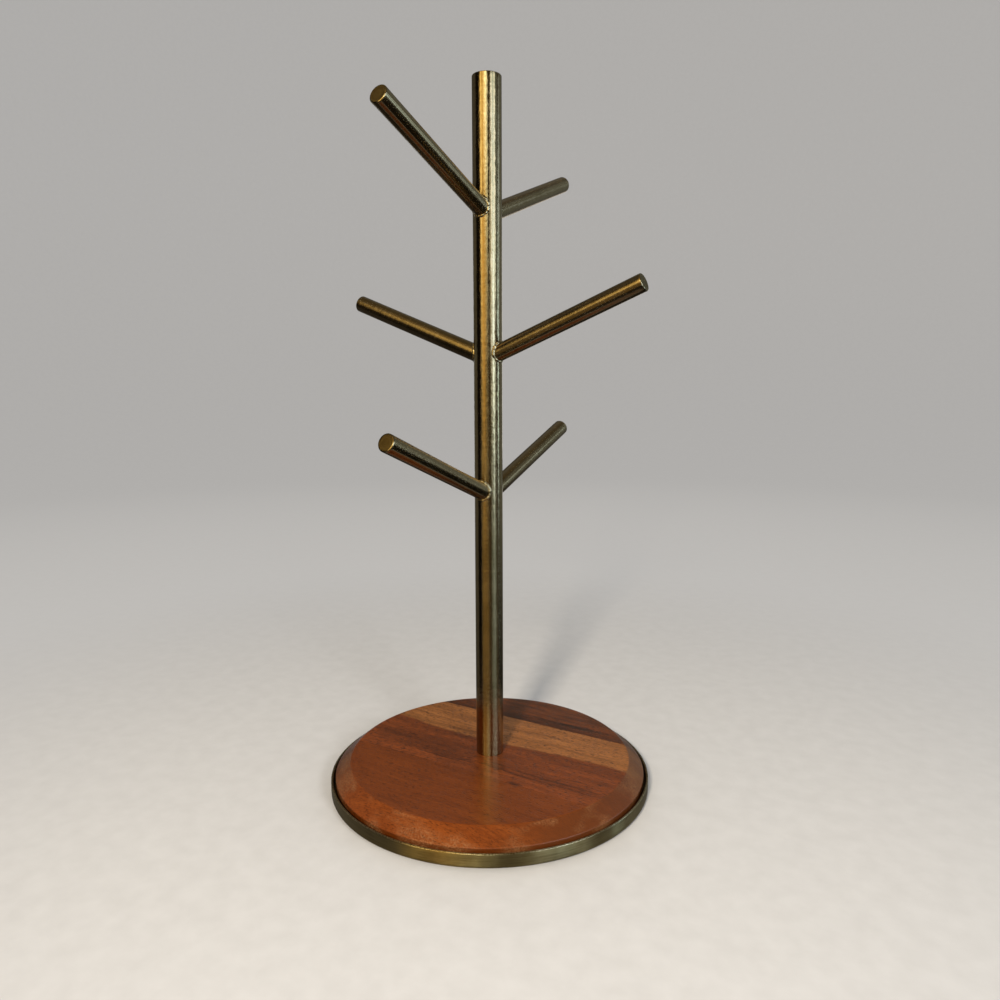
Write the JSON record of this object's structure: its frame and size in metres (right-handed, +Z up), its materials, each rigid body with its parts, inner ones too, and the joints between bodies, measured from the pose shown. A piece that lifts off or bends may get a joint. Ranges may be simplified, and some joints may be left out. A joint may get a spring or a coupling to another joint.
{
  "type": "mug tree",
  "caption": "Upright brass-finished post with pairs of upward-slanted rod arms for hanging mugs, bolted to a round bevelled wooden base in a shallow metal dish.",
  "frame": {"origin": "on the post's axis, on the surface that the foot pads stand on", "axes": "+Z up along the post, +X along the middle pair of arms and the wood's staves, +Y along the upper and lower pairs of arms"},
  "size_m": [0.1854, 0.1854, 0.395],
  "materials": {
    "brushed_brass": "satin antique brass, finely polished",
    "weld_brass": "plated weld bead, slightly bumpy",
    "wood_front": "satin lacquer over reddish-brown acacia",
    "wood_centre": "satin lacquer over acacia: pale sapwood along its back edge, dark-streaked heartwood in front of it",
    "wood_back": "satin lacquer over dark acacia",
    "zinc_steel": "bright zinc plate",
    "black_rubber": "matte"
  },
  "bodies": {
    "root": {"base_dish": "brushed_brass", "wood_stave_front": "wood_front", "wood_stave_centre": "wood_centre", "wood_stave_back": "wood_back", "foot_pad_back_right": "black_rubber", "foot_pad_back_left": "black_rubber", "foot_pad_front_left": "black_rubber", "foot_pad_front_right": "black_rubber", "clamp_bolt": "zinc_steel", "spring_washer": "zinc_steel", "flat_washer": "zinc_steel", "post_tube": "brushed_brass", "post_top_cap": "brushed_brass", "post_foot_nut": "zinc_steel", "arm_lower_back": "brushed_brass", "arm_lower_front": "brushed_brass", "arm_middle_right": "brushed_brass", "arm_middle_left": "brushed_brass", "arm_upper_back": "brushed_brass", "arm_upper_front": "brushed_brass", "weld_lower_back": "weld_brass", "weld_lower_front": "weld_brass", "weld_middle_right": "weld_brass", "weld_middle_left": "weld_brass", "weld_upper_back": "weld_brass", "weld_upper_front": "weld_brass"}
  },
  "joints": []
}
